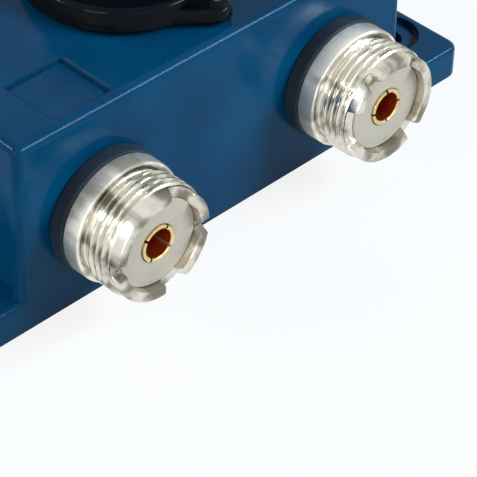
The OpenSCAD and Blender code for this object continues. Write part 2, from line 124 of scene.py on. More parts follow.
class Finish:
    """A material with one Principled shader, filled in by expressions."""

    def __init__(self, name, **constants):
        self.material = bpy.data.materials.new(name)
        self.material.use_nodes = True
        self.tree = self.material.node_tree
        self.tree.nodes.clear()
        self.shader = self.tree.nodes.new("ShaderNodeBsdfPrincipled")
        output = self.tree.nodes.new("ShaderNodeOutputMaterial")
        self.tree.links.new(self.shader.outputs[0], output.inputs[0])
        self.place = self.node("ShaderNodeTexCoord", output="Object")
        for socket, value in constants.items():
            self.put(self.shader.inputs[socket.replace("_", " ")], value)

    def put(self, socket, value):
        """Links a changing value to a socket, or sets a constant on it."""
        if isinstance(value, Value):
            self.tree.links.new(value.socket, socket)
        else:
            socket.default_value = value

    def node(self, kind, settings=None, inputs=None, output=0):
        """Makes a node, sets it first, fills its sockets, and wraps one of its outputs."""
        made = self.tree.nodes.new(kind)
        for name, value in (settings or {}).items():
            setattr(made, name, value)
        for name, value in (inputs or {}).items():
            self.put(made.inputs[name], value)
        return Value(self, made.outputs[output])

    def scaled(self, factors):
        """Object coordinates, stretched along each axis."""
        inputs = {0: self.place, 1: factors}
        return self.node("ShaderNodeVectorMath", {"operation": "MULTIPLY"}, inputs)

    def noise(self, scale, detail=2.0, place=None, roughness=0.5):
        inputs = {"Vector": place or self.place, "Scale": scale, "Detail": detail,
                  "Roughness": roughness}
        return self.node("ShaderNodeTexNoise", None, inputs)

    def mask(self, value, low, high):
        """0 where value is under low, 1 where it is over high."""
        inputs = {"Value": value, "From Min": low, "From Max": high}
        return self.node("ShaderNodeMapRange", {"interpolation_type": "SMOOTHSTEP"}, inputs)

    def blend(self, factor, first, second):
        """A colour between two colours."""
        inputs = {"Factor": factor, 6: first, 7: second}
        return self.node("ShaderNodeMix", {"data_type": "RGBA"}, inputs, output=2)

    def bump(self, height, strength, distance):
        inputs = {"Height": height, "Strength": strength, "Distance": distance}
        return self.node("ShaderNodeBump", None, inputs)

    def shade(self, **values):
        """Fills the shader's sockets, and gives back the finished material."""
        for socket, value in values.items():
            self.put(self.shader.inputs[socket.replace("_", " ")], value)
        return self.material


def srgb(red, green, blue):
    """A colour as picked on screen, 0 to 255, in Blender's linear numbers."""
    def linear(v):
        v = v / 255
        return v / 12.92 if v <= 0.04045 else ((v + 0.055) / 1.055) ** 2.4
    return (linear(red), linear(green), linear(blue), 1)


# %% [markdown]
# ## The finishes
# The box is sprayed with a glossy blue enamel. Real enamel isn't flat: it has a slight orange
# peel, its tone varies a little, and a fine speckle lies in it. The peel is a fine noise that
# feeds a Bump node. The photographed paint mirrors very little, so the index of refraction is
# low, and the low roughness keeps what it does mirror sharp.

# %% Blue enamel
def blue_enamel():
    finish = Finish("blue_enamel", IOR=1.15)
    drift = finish.noise(60, 3)
    speck = finish.noise(2600, 2, roughness=0.7)
    deep, light = srgb(0, 49, 77), srgb(1, 61, 91)
    tone = finish.blend(finish.mask(drift + speck * 0.25, 0.42, 0.82), deep, light)
    peel = finish.noise(750, 1.5) + finish.noise(2400, 1) * 0.3
    return finish.shade(
        Base_Color=tone,
        Roughness=0.12 + 0.08 * finish.noise(300, 2),
        Normal=finish.bump(peel, 0.05, 0.0004))


# %% [markdown]
# Nickel plate on turned brass is bright, slightly warm, and keeps the fine rings that the lathe
# tool left. The rings run round each socket, whose axis lies along Y, so a noise that changes
# quickly along Y and slowly across it draws them.

# %% Bright nickel, gold and the other metals
LATHE_RINGS = (500, 9000, 500)
PAINTED_REFLECTION_STREAKS = (260, 70, 260)
ROLLED_GRAIN = (900, 900, 2600)


def turned_metal(name, dark, light, rough, rings=0.35):
    finish = Finish(name, Metallic=1.0)
    lathe = finish.noise(1, 2, finish.scaled(LATHE_RINGS))
    haze = finish.noise(420, 3)
    return finish.shade(
        Base_Color=finish.blend(haze, dark, light),
        Roughness=rough * (0.75 + 0.5 * haze),
        Normal=finish.bump(lathe, rings, 0.00002))


def plated_nickel(name, dark, light, rough, rings):
    """Bright nickel with painted reflections: dark and bright streaks along the socket that stand in
    for its mirrored surroundings.
    """
    finish = Finish(name, Metallic=1.0)
    lathe = finish.noise(1, 2, finish.scaled(LATHE_RINGS))
    # clear is a painted reflection mask: where it is 1 the nickel is painted bright, where it is 0
    # dark, like streaks of mirrored light and shade.
    clear = finish.mask(finish.noise(1, 3, finish.scaled(PAINTED_REFLECTION_STREAKS)), 0.38, 0.6)
    return finish.shade(
        Base_Color=finish.blend(clear, dark, light),
        Roughness=rough + 0.12 * (1 - clear),
        Normal=finish.bump(lathe, rings, 0.00004))


def stamped_metal(name, dark, light, rough):
    finish = Finish(name, Metallic=1.0)
    grain = finish.noise(1, 3, finish.scaled(ROLLED_GRAIN))
    return finish.shade(
        Base_Color=finish.blend(grain, dark, light),
        Roughness=rough * (0.7 + 0.6 * grain),
        Normal=finish.bump(grain, 0.2, 0.00002))


# %% [markdown]
# The knob and the rings behind the flanges are glossy black moulded plastic. A moulding shows
# very faint waves and a few fine scuffs in its gloss. The insulators are a waxy white plastic,
# turned to size, which lets a little light in. The colours of the metals are linear numbers, and
# those of the plastics and the paint are as picked on screen.

# %% Plastics
SCUFFS = (2600, 500, 2600)


def black_moulding(name, dark, light, rough):
    finish = Finish(name, IOR=1.16)
    wave = finish.noise(160, 2)
    scuff = finish.mask(finish.noise(1, 4, finish.scaled(SCUFFS)), 0.62, 0.7)
    return finish.shade(
        Base_Color=finish.blend(wave, dark, light),
        Roughness=rough + 0.1 * wave + 0.18 * scuff,
        Normal=finish.bump(wave + finish.noise(1500, 1) * 0.15, 0.06, 0.0004))


def waxy_white():
    finish = Finish("waxy_white", IOR=1.4, Subsurface_Weight=0.15, Subsurface_Scale=0.001)
    cloud = finish.noise(300, 3)
    return finish.shade(
        Base_Color=finish.blend(cloud, srgb(160, 145, 126), srgb(180, 164, 145)),
        Roughness=0.4 + 0.12 * cloud,
        Normal=finish.bump(finish.noise(2500, 2), 0.08, 0.0001))


# %% A finish for every material slot, and three more
FINISHES = {
    "blue_paint": blue_enamel(),
    "black_plastic": black_moulding("black_knob", srgb(5, 8, 13), srgb(10, 13, 19), 0.1),
    "nickel": plated_nickel(
        "bright_nickel", (0.22, 0.2, 0.15, 1), (0.74, 0.71, 0.62, 1), 0.17, 0.75),
    "gold": turned_metal("gold_plate", (0.68, 0.53, 0.24, 1), (0.82, 0.66, 0.34, 1), 0.2, 0.2),
    "ptfe": waxy_white(),
    "brass": turned_metal("turned_brass", (0.62, 0.44, 0.18, 1), (0.74, 0.55, 0.26, 1), 0.25),
    "steel": stamped_metal("zinc_steel", (0.42, 0.43, 0.45, 1), (0.56, 0.57, 0.58, 1), 0.3),
    "copper": stamped_metal("spring_copper", (0.60, 0.33, 0.20, 1), (0.74, 0.45, 0.30, 1), 0.28),
}
# The rings are the same black plastic as the knob, lifted to a grey-blue: a painted sheen for the
# lighter reflections they show.
RING_BLACK_PAINTED_SHEEN = black_moulding("black_ring_painted_sheen", srgb(34, 42, 50), srgb(48, 57, 65), 0.22)
# The flanges' nickel is more matt, and its paler colour is painted light, for the light that the
# flanges catch.
FLANGE_NICKEL_PAINTED_LIGHT = plated_nickel(
    "flange_nickel_painted_light", (0.42, 0.39, 0.31, 1), (0.96, 0.92, 0.82, 1), 0.4, 1.0)
# A dark red gold for inside the contact's bore: painted shade, with the reddened light of gold
# mirrored in gold deep in the bore.
BORE_GOLD_PAINTED_SHADE = turned_metal("gold_bore_painted_shade", (0.66, 0.13, 0.02, 1), (0.78, 0.19, 0.04, 1), 0.35, 0.2)
print("Finishes:", ", ".join(FINISHES))

# %% [markdown]
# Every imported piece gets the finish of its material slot. Pieces that are made again below in
# finer detail take the place of their packed ones later.

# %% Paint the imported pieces
for part in frame["record"]["subparts"]:
    node = frame["nodes"][part["node"]]
    node.data.materials.clear()
    node.data.materials.append(FINISHES[part["material_slot"]])
print("Packed pieces painted:", len(frame["nodes"]))

# %% [markdown]
# ## Helpers for shapes
# Most pieces here are turned, so one helper spins a profile round the Z axis. Another lays rings
# of points over each other and bridges them. Blocks get their edges rounded one kind at a time.
# Shapes are cut with others or joined to them. The last helper turns a finished shape into a
# piece that rides on its body.

# %% Spin and loft
SAME_POINT = 1e-7


def spun(profile, steps=96, closed=True):
    """Turns a profile of (radius, height) points, in mm, round Z."""
    bm = bmesh.new()
    points = [bm.verts.new((r * MM, 0, z * MM)) for r, z in profile]
    pairs = zip(points, points[1:] + points[:1] if closed else points[1:])
    edges = [bm.edges.new(pair) for pair in pairs]
    bmesh.ops.spin(bm, geom=points + edges, cent=(0, 0, 0), axis=(0, 0, 1), dvec=(0, 0, 0),
                   angle=math.tau, steps=steps, use_merge=True, use_duplicate=False)
    return tidy(bm)


def lofted(rings):
    """Bridges closed rings of points, in mm, and caps the first and the last."""
    bm = bmesh.new()
    before = None
    for ring in rings:
        points = [bm.verts.new(Vector(p) * MM) for p in ring]
        edges = [bm.edges.new(pair) for pair in zip(points, points[1:] + points[:1])]
        if before:
            bmesh.ops.bridge_loops(bm, edges=before + edges)
        else:
            bm.faces.new(points)
        before = edges
    bm.faces.new(points)
    return tidy(bm)


def tidy(bm):
    """Merges doubled points and turns the faces outwards."""
    bmesh.ops.remove_doubles(bm, verts=bm.verts, dist=SAME_POINT)
    bmesh.ops.recalc_face_normals(bm, faces=bm.faces)
    return bm


def rod(radius, low, high, steps=32):
    """A plain cylinder on Z, between two heights."""
    return spun([(0, low), (radius, low), (radius, high), (0, high)], steps)


def moved(bm, x=0.0, y=0.0, z=0.0):
    bmesh.ops.translate(bm, vec=Vector((x, y, z)) * MM, verts=bm.verts)
    return bm


def turned(bm, angle, axis):
    bmesh.ops.rotate(bm, cent=(0, 0, 0), verts=bm.verts, matrix=Matrix.Rotation(angle, 3, axis))
    return bm


# %% Blocks and rounded edges
def block(width, depth, low, high):
    """A block centred on Z, between two heights."""
    bm = bmesh.new()
    bmesh.ops.create_cube(bm, size=1)
    bmesh.ops.scale(bm, vec=(width * MM, depth * MM, (high - low) * MM), verts=bm.verts)
    bmesh.ops.translate(bm, vec=(0, 0, (low + high) / 2 * MM), verts=bm.verts)
    return bm


def upright(edge):
    return abs(edge.verts[0].co.z - edge.verts[1].co.z) > 1 * MM


def at_height(z):
    """Tests whether an edge lies at a height, in mm."""
    return lambda edge: all(abs(v.co.z - z * MM) < 1e-6 for v in edge.verts)


def rounded(bm, test, radius, segments):
    """Rounds the edges that pass a test, if their two faces meet at a clear angle."""
    clear_angle = 0.3
    edges = [e for e in bm.edges if test(e) and e.calc_face_angle(0) > clear_angle]
    bmesh.ops.bevel(bm, geom=edges, offset=radius * MM, offset_type="OFFSET", segments=segments,
                    profile=0.5, affect="EDGES", clamp_overlap=True, material=-1)


# %% Objects, cuts and joins
def as_object(bm, name):
    mesh = bpy.data.meshes.new(name)
    bm.to_mesh(mesh)
    bm.free()
    made = bpy.data.objects.new(name, mesh)
    bpy.context.scene.collection.objects.link(made)
    return made


def combined(bm, others, operation="DIFFERENCE"):
    """Cuts a shape with others, or joins them to it."""
    main = as_object(bm, "work")
    tools = [as_object(other, "tool") for other in others]
    for tool in tools:
        step = main.modifiers.new("step", "BOOLEAN")
        step.operation, step.solver, step.object = operation, "EXACT", tool
    result = bmesh.new()
    result.from_object(main, bpy.context.evaluated_depsgraph_get())
    for gone in [main, *tools]:
        mesh = gone.data
        bpy.data.objects.remove(gone)
        bpy.data.meshes.remove(mesh)
    bmesh.ops.remove_doubles(result, verts=result.verts, dist=SAME_POINT)
    return result


# %% A finished piece
def piece(bm, name, slot, body, replaced, angle=32, finish=None):
    """A finished piece on its body, smooth up to an angle, with its flats shaded flat."""
    made = as_object(bm, name)
    made.data.shade_smooth()
    made.data.set_sharp_from_angle(angle=math.radians(angle))
    made.modifiers.new("even_shading", "WEIGHTED_NORMAL").keep_sharp = True
    made.data.materials.append(finish or FINISHES[slot])
    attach(made, body)
    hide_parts(*replaced)
    print(f"{name}: {len(made.data.polygons)} faces")
    return made


# %% [markdown]
# ## The box
# The real box is one die-casting. It could be a cube with a Bevel modifier, but its end walls
# lean by a draft angle, and the box and its ears have different corner radii. So the box and the
# ear plate are made apart, with the upright corners bevelled first and the top edges second,
# and then joined. Holes are cut with spun tools whose flared mouths leave soft paint edges.

# %% Sizes of the box
BOX_W, BOX_D, BOX_H = 67.8, 37.0, 28.2
DRAFT = math.radians(1.0)
WALL, ROOF = 3.0, 3.0
EARS_W, EAR_T = 94.2, 5.0
CORNER_R, EAR_R, CAVITY_R, LEDGE_R = 1.25, 1.8, 1.5, 2.7
SOFT_EDGE, EAR_EDGE, FOOT_EDGE = 1.3, 0.9, 0.3
INSIDE_PLATE = 2.0
HOLE_X, HOLE_Y, HOLE_R = 41.3, 9.75, 2.2
SEAT_R, SEAT_DEEP = 4.45, 0.9
PORT_X, PORT_Z, PORT_R = 20.2, 13.1, 6.92
BUSH_R = 4.62
PANEL_X, PANEL_IN = -21.5, 6.3
SCREW_X, SCREW_Y, PILOT_R, PILOT_TOP = 25.6, 8.0, 1.25, 10.0
BOSS_R = 3.2
LEDGE_W, LEDGE_H = 1.2, 1.8
HALF_D = BOX_D / 2
HALF_TOP = BOX_W / 2 - BOX_H * math.tan(DRAFT)
HOLES = [(x, y) for x in (-HOLE_X, HOLE_X) for y in (-HOLE_Y, HOLE_Y)]
SCREWS = [(x, y) for x in (-SCREW_X, SCREW_X) for y in (-SCREW_Y, SCREW_Y)]


# %% The box and the ear plate
def box_block():
    """The box with its leaning ends and its rounded edges. It starts inside the ear plate."""
    bm = block(BOX_W, BOX_D, INSIDE_PLATE, BOX_H)
    for v in bm.verts:
        v.co.x = math.copysign(BOX_W / 2 * MM - v.co.z * math.tan(DRAFT), v.co.x)
    rounded(bm, upright, CORNER_R, 8)
    rounded(bm, at_height(BOX_H), SOFT_EDGE, 4)
    return bm


def ear_plate():
    bm = block(EARS_W, BOX_D, 0, EAR_T)
    rounded(bm, upright, EAR_R, 6)
    rounded(bm, at_height(EAR_T), EAR_EDGE, 5)
    rounded(bm, at_height(0), FOOT_EDGE, 2)
    return bm


# %% Tools that cut the box
def hole_tool(radius, low, high, seat_radius=None, seat_low=None):
    """A hole from below, with a wider seat and a flared mouth at the top."""
    flare, chamfer = 0.25, 0.15
    seat_radius = seat_radius or radius
    seat_low = low if seat_low is None else seat_low
    profile = [(0, low), (radius, low)]
    if seat_low > low:
        profile += [(radius, seat_low), (seat_radius - chamfer, seat_low),
                    (seat_radius, seat_low + chamfer)]
    profile += [(seat_radius, high - flare), (seat_radius + 0.08, high - flare * 0.35),
                (seat_radius + flare, high), (seat_radius + flare, high + 2), (0, high + 2)]
    return spun(profile, 64)


def niche_tool(side, y):
    """A round-topped recess over an ear hole, drafted so that it opens outwards."""
    radius, spring, deep, steps = 7.3, 14.2, 1.3, 24
    half_height = (spring + radius) / 2
    floor = BOX_W / 2 - half_height * math.tan(DRAFT) - deep
    rings = []
    for x, grow in ((floor, -0.3), (floor + 0.25, -0.05), (floor + deep, 0.15), (floor + 12, 0.4)):
        r = radius + grow
        arc = [(side * x, y + r * math.cos(t), spring + r * math.sin(t))
               for t in [math.pi * i / steps for i in range(steps + 1)]]
        foot = [(side * x, y - r, EAR_T), (side * x, y + r, EAR_T)]
        rings.append(arc + foot)
    return lofted(rings)


def panel_tool(side, deep, flare):
    """The shallow square in the top: a flared block with rounded corners."""
    corner = 0.6
    bm = block(side, side, BOX_H - deep, BOX_H + 1)
    for v in bm.verts:
        if v.co.z > BOX_H * MM:
            v.co.x *= flare
            v.co.y *= flare
    rounded(bm, upright, corner, 4)
    return moved(bm, x=PANEL_X, y=PANEL_IN - HALF_D)


def cavity_tool():
    """The room inside, less the four screw bosses."""
    room = block(2 * (HALF_TOP - WALL), 2 * (HALF_D - WALL), -1, BOX_H - ROOF)
    rounded(room, upright, CAVITY_R, 5)
    return combined(room, [moved(rod(BOSS_R, LEDGE_H, BOX_H, 48), x, y) for x, y in SCREWS])


def ledge_tool():
    """The wider mouth of that room, which the cover plate lies in."""
    bm = block(2 * (HALF_TOP - WALL + LEDGE_W), 2 * (HALF_D - WALL + LEDGE_W), -1, LEDGE_H)
    rounded(bm, upright, LEDGE_R, 6)
    return bm


def socket_place(x, y_side):
    """Turns a shape whose axis is Z so that it looks out of the front (-1) or the rear (+1)."""
    turn = Matrix.Rotation(-y_side * math.pi / 2, 4, "X")
    return Matrix.Translation(Vector((x, y_side * HALF_D, PORT_Z)) * MM) @ turn


def port_tool(x, y_side):
    bm = rod(PORT_R, -5, 1, 64)
    bmesh.ops.transform(bm, matrix=socket_place(x, y_side), verts=bm.verts)
    return bm


# %% Join, cut and finish the box
def die_cast_box():
    bm = combined(box_block(), [ear_plate()], "UNION")
    tools = [cavity_tool(), ledge_tool(), panel_tool(9.2, 0.62, 1.01), panel_tool(9.22, 0.2, 1.3)]
    tools += [moved(hole_tool(HOLE_R, -1, EAR_T, SEAT_R, EAR_T - SEAT_DEEP), x, y) for x, y in HOLES]
    tools += [niche_tool(side, y) for side in (-1, 1) for y in (-HOLE_Y, HOLE_Y)]
    tools += [port_tool(-PORT_X, -1), port_tool(PORT_X, -1), port_tool(0, 1)]
    tools += [hole_tool(BUSH_R, BOX_H - 5, BOX_H)]
    tools += [moved(rod(PILOT_R, -1, PILOT_TOP), x, y) for x, y in SCREWS]
    return combined(bm, tools)


piece(die_cast_box(), "die_cast_box", "blue_paint", "switch_body", ["housing"])

# %% [markdown]
# ## The cover underneath
# A painted plate closes the box from below. It lies in a ledge, held by four countersunk screws.
# The screws are spun, and two thin blocks cut the cross in each head.

# %% Cover plate and its screws
COVER_W, COVER_D, COVER_R = 62.82, 33.0, 2.6
COVER_LOW, COVER_HIGH = 0.2, LEDGE_H
HEAD_R, SHANK_R, CLEAR_R, SCREW_END = 2.7, 1.25, 1.65, 8.0
CROSS_L, CROSS_W, CROSS_TOP = 2.9, 0.6, 1.3


def cover_plate():
    bm = block(COVER_W, COVER_D, COVER_LOW, COVER_HIGH)
    rounded(bm, upright, COVER_R, 8)
    rounded(bm, at_height(COVER_LOW), 0.25, 3)
    sink = [(0, -1), (HEAD_R + 0.2, -1), (HEAD_R + 0.2, COVER_LOW), (CLEAR_R, 1.5),
            (CLEAR_R, 3), (0, 3)]
    return combined(bm, [moved(spun(sink, 48), x, y) for x, y in SCREWS])


def cover_screw():
    head = [(0, COVER_LOW + 0.1), (HEAD_R - 0.3, COVER_LOW + 0.1), (HEAD_R - 0.08, COVER_LOW + 0.16),
            (HEAD_R, COVER_LOW + 0.3), (SHANK_R + 0.1, 1.75), (SHANK_R, 1.9)]
    bm = spun([*head, (SHANK_R, SCREW_END - 0.3), (SHANK_R - 0.3, SCREW_END), (0, SCREW_END)], 48)
    cross = [block(CROSS_L, CROSS_W, -1, CROSS_TOP), block(CROSS_W, CROSS_L, -1, CROSS_TOP)]
    return combined(bm, cross)


def all_screws():
    """The four screws as one shape."""
    bm = bmesh.new()
    for x, y in SCREWS:
        one = moved(cover_screw(), x, y)
        mesh = bpy.data.meshes.new("screw")
        one.to_mesh(mesh)
        one.free()
        bm.from_mesh(mesh)
        bpy.data.meshes.remove(mesh)
    return bm


piece(cover_plate(), "cover_plate", "blue_paint", "switch_body", ["bottom_cover"])
piece(all_screws(), "countersunk_screws", "steel", "switch_body", ["cover_screws"])

# %% [markdown]
# ## The sockets
# Each socket is a turned brass body, so it is one spun profile: neck, flange, groove, thread and
# lip. A thread can't be spun, because it climbs. Here the profile has many rows where the thread
# lies, and after the spin each point there is moved in or out by a formula of its angle and
# height, which makes one clean helix. The notches in the lip are made in the same way: the
# lip's end is lowered where a notch is. A name that ends in _U is a distance out from the wall.

# %% Sizes of a socket
REACH = 11.2
RING_T, FLANGE_T, RELIEF_W = 2.1, 2.7, 0.8
FLANGE_U = RING_T + FLANGE_T
THREAD_U = FLANGE_U + RELIEF_W
LIP_U = REACH - 1.6
THREAD_R, RELIEF_R, LIP_R, FLANGE_R = 7.9375, 7.2, 7.6, 8.37
MOUTH_R, THROAT_R, NECK_R = 6.1, 4.6, 6.9
PITCH = 25.4 / 24
THREAD_DEEP = 0.6 * PITCH
FACE_U = REACH - 1.26
THROAT_U = RING_T + 1.9
NECK_END = -6.0
NOTCH_DEEP = 1.3
NOTCHES = ((0, 48), (-60, 14), (-129, 26), (127, 16))
TURNS = {"port_1": 55, "port_2": 182, "common": 120}


# %% Profile, thread and notches of the socket's body
def smooth(value, low, high):
    """Runs from 0 to 1 between two values, and levels off at both."""
    t = min(max((value - low) / (high - low), 0), 1)
    return t * t * (3 - 2 * t)


def shell_profile():
    """Points of the socket's body, from the neck's end up the outside and down the bore."""
    rows = 46
    thread = [(THREAD_R, THREAD_U + (LIP_U - THREAD_U) * i / rows) for i in range(rows + 1)]
    return [
        (NECK_R - 0.3, NECK_END), (NECK_R, NECK_END + 0.3), (NECK_R, RING_T - 0.02),
        (FLANGE_R - 0.25, RING_T - 0.02), (FLANGE_R - 0.07, RING_T + 0.07),
        (FLANGE_R, RING_T + 0.25), (FLANGE_R, FLANGE_U - 0.35),
        (FLANGE_R - 0.1, FLANGE_U - 0.1), (FLANGE_R - 0.35, FLANGE_U),
        (RELIEF_R + 0.15, FLANGE_U), (RELIEF_R, FLANGE_U + 0.15), (RELIEF_R, THREAD_U - 0.02),
        *thread,
        (LIP_R, LIP_U + 0.1), (LIP_R, REACH - 0.3),
        (LIP_R - 0.08, REACH - 0.1), (LIP_R - 0.28, REACH),
        (MOUTH_R + 0.25, REACH), (MOUTH_R + 0.07, REACH - 0.07), (MOUTH_R, REACH - 0.25),
        (MOUTH_R, FACE_U - 0.6), (MOUTH_R, THROAT_U), (THROAT_R, THROAT_U), (THROAT_R, NECK_END)]


def cut_thread(bm):
    """Moves the points of the threaded stretch in or out along a right-hand helix."""
    root_share, flank_share, run_in = 0.14, 0.7, 1.2
    for v in bm.verts:
        u = v.co.z / MM
        radius = math.hypot(v.co.x, v.co.y) / MM
        if radius < THREAD_R - 0.01 or not THREAD_U - 1e-4 <= u <= LIP_U + 1e-4:
            continue
        phase = (u / PITCH - math.atan2(v.co.y, v.co.x) / math.tau) % 1
        ridge = min(max((1 - abs(2 * phase - 1) - root_share) / flank_share, 0), 1)
        wanted = THREAD_R - THREAD_DEEP * (1 - ridge)
        wanted = min(wanted, RELIEF_R + (u - THREAD_U) * run_in + 0.05)
        ending = smooth(u, LIP_U - 0.6, LIP_U)
        wanted = wanted * (1 - ending) + LIP_R * ending
        v.co.x *= wanted / radius
        v.co.y *= wanted / radius


def cut_notches(bm, turn):
    """Lowers the lip's end where a notch is."""
    inside, outside = 2.2, 1.2
    for v in bm.verts:
        if v.co.z < (REACH - 0.35) * MM:
            continue
        angle = math.degrees(math.atan2(v.co.y, v.co.x))
        deep = 0
        for middle, width in NOTCHES:
            off = abs((angle - turn - middle + 180) % 360 - 180)
            deep = max(deep, 1 - smooth(off, width / 2 - inside, width / 2 + outside))
        v.co.z -= deep * NOTCH_DEEP * MM


# %% [markdown]
# The contact is a gold-plated tube with four slits, so that it can grip a plug's pin. The slits
# are cut with thin blocks. The insulator round it and the black ring behind the flange are
# plain turned pieces with soft edges.

# %% The other pieces of a socket
PIN_R, BORE_R, TAIL_R = 2.6, 2.0, 1.6
PIN_U = FACE_U + 0.26
TAIL_U = -9.2
SLIT_W, SLIT_DEEP = 0.35, 5.0


def contact_shape(turn):
    bm = spun([
        (0, TAIL_U), (TAIL_R - 0.3, TAIL_U), (TAIL_R, TAIL_U + 0.3), (TAIL_R, NECK_END + 1),
        (PIN_R, NECK_END + 1), (PIN_R, PIN_U - 0.2),
        (PIN_R - 0.06, PIN_U - 0.06), (PIN_R - 0.2, PIN_U),
        (BORE_R + 0.22, PIN_U), (BORE_R + 0.05, PIN_U - 0.12), (BORE_R, PIN_U - 0.35),
        (BORE_R, PIN_U - 8.6), (0, PIN_U - 9)], 96, closed=False)
    slits = []
    for quarter in (0, 1):
        slit = block(4 * PIN_R, SLIT_W, PIN_U - SLIT_DEEP, PIN_U + 1)
        slits.append(turned(slit, math.radians(turn) + quarter * math.pi / 2, "Z"))
    return combined(bm, slits)


def insulator_shape():
    gap, soft = 0.02, 0.12
    hole = PIN_R + gap
    return spun([
        (hole, NECK_END + 1), (TAIL_R + gap, NECK_END + 1), (TAIL_R + gap, NECK_END - 0.5),
        (THROAT_R - gap, NECK_END - 0.5), (THROAT_R - gap, THROAT_U), (MOUTH_R - gap, THROAT_U),
        (MOUTH_R - gap, FACE_U - soft), (MOUTH_R - gap - soft, FACE_U), (hole + soft, FACE_U),
        (hole, FACE_U - soft)], 96)


def ring_shape():
    outer, inner = 8.65, 6.94
    return spun([
        (inner, 0), (outer - 0.3, 0), (outer - 0.09, 0.09), (outer, 0.3), (outer, RING_T - 0.35),
        (outer - 0.1, RING_T - 0.1), (outer - 0.35, RING_T), (inner, RING_T)], 128)


# %% A second finish on some faces
def refinish(made, x, finish, chosen):
    """Gives the faces whose distance from the socket's axis is chosen another finish."""
    made.data.materials.append(finish)
    for face in made.data.polygons:
        if chosen(math.hypot(face.center.x / MM - x, face.center.z / MM - PORT_Z)):
            face.material_index = 1


# %% Make the three sockets
PORTS = {"port_1": (-PORT_X, -1), "port_2": (PORT_X, -1), "common": (0, 1)}
for port, (x, y_side) in PORTS.items():
    place = socket_place(x, y_side)
    shell = spun(shell_profile(), 160)
    cut_thread(shell)
    cut_notches(shell, TURNS[port])
    shapes = {
        "shell": (shell, "nickel"),
        "contact": (contact_shape(TURNS[port]), "gold"),
        "insulator": (insulator_shape(), "ptfe"),
        "ring": (ring_shape(), "black_plastic"),
    }
    for part, (bm, slot) in shapes.items():
        bmesh.ops.transform(bm, matrix=place, verts=bm.verts)
        made = piece(bm, f"{port}_{part}_finished", slot, "switch_body", [f"{port}_{part}"],
                     finish=RING_BLACK_PAINTED_SHEEN if part == "ring" else None)
        if part == "contact":
            # The bore's inner faces get the dark red gold, which paints the shade deep in the bore.
            refinish(made, x, BORE_GOLD_PAINTED_SHADE, lambda radius: radius < BORE_R + 0.03)
        if part == "shell":
            # The flange faces get the paler nickel: painted light where the flanges catch it.
            refinish(made, x, FLANGE_NICKEL_PAINTED_LIGHT, lambda radius: radius > THREAD_R + 0.2)

# %% [markdown]
# ## The knob
# The knob is a round skirt drawn out to a pointer, with a finger bar on top that runs down to
# the tip. Foot and bar are lofts: rings of the same outline, each a little smaller than the one
# below, so that the rounded edges come from the rings' own spacing. The outline is two circles
# joined by their common tangents. The bar is made with a level top, cut across many times, and
# only then lowered in front, because one big face can't bend.

# %% Sizes and outline of the knob
REST_TURN = math.radians(10)
KNOB_Z = BOX_H + 0.5
KNOB_H, SKIRT_H = 14.5, 3.0
KNOB_R, SKIRT_IN = 13.2, 0.6
TIP_R, TIP_Y = 2.3, -14.65
ROOT_R, ROOT_Y = 9.29, -4.0
POINTER_H = 1.9
BAR_R, BAR_TIP_R = 5.5, 2.0
BAR_BACK_Y, BAR_FRONT_Y = 7.1, -0.5
RIDGE_H = 2.5
FALL_FROM_Y, FALL_TO_Y = -4.1, -16.15
CUTS, CUT_FROM_Y, CUT_STEP = 12, -2.2, 0.45
HOLLOW_R, HOLLOW_TOP = 6.0, 1.5
INSERT_R, INSERT_TOP = 4.22, 9.5
SCREW_WAY_R, SCREW_WAY_Z = 1.7, 6.3


def drop_outline(big, big_y, small, small_y, steps=32):
    """Points round a big circle and on to a smaller one nearer the tip."""
    lean = math.asin((big - small) / (big_y - small_y))
    points = []
    for radius, y, start, end in ((big, big_y, -lean, math.pi + lean),
                                  (small, small_y, math.pi + lean, math.tau - lean)):
        for i in range(steps + 1):
            angle = start + (end - start) * i / steps
            points.append(Vector((radius * math.cos(angle), y + radius * math.sin(angle))))
    return points


def quarter_round(steps):
    """Pairs of (rise, inset), each from 0 to 1, round a quarter circle."""
    angles = [math.pi / 2 * i / steps for i in range(1, steps + 1)]
    return [(math.sin(angle), 1 - math.cos(angle)) for angle in angles]


# %% Skirt and the pointer's foot
def skirt_shape():
    """The round disc with its rounded upper edge."""
    edge, top_r = 0.8, KNOB_R - SKIRT_IN
    side = [(KNOB_R - 0.3, 0), (KNOB_R - 0.08, 0.1), (KNOB_R, 0.35), (top_r, SKIRT_H - edge)]
    side += [(top_r - edge * inset, SKIRT_H - edge * (1 - rise))
             for rise, inset in quarter_round(7)]
    return spun([(0, 0), *side, (0, SKIRT_H)], 160)


def foot_shape():
    """The flat wedge that runs out from the skirt to the tip."""
    edge, draft = 0.6, 0.2
    levels = [(0, 0.25), (0.1, 0.07), (0.3, 0), (POINTER_H - edge, draft)]
    levels += [(POINTER_H - edge * (1 - rise), draft + edge * inset)
               for rise, inset in quarter_round(6)]
    rings = []
    for z, inset in levels:
        outline = drop_outline(ROOT_R - inset, ROOT_Y, TIP_R - inset, TIP_Y)
        rings.append([(p.x, p.y, z) for p in outline])
    return lofted(rings)


# %% Finger bar
def bar_top(y):
    """Height of the bar's top: level at the back, then running down to the tip."""
    bend = 0.9
    past = FALL_FROM_Y - y
    softened = (past + math.hypot(past, bend)) / 2
    return KNOB_H - softened * (KNOB_H - RIDGE_H) / (FALL_FROM_Y - FALL_TO_Y)


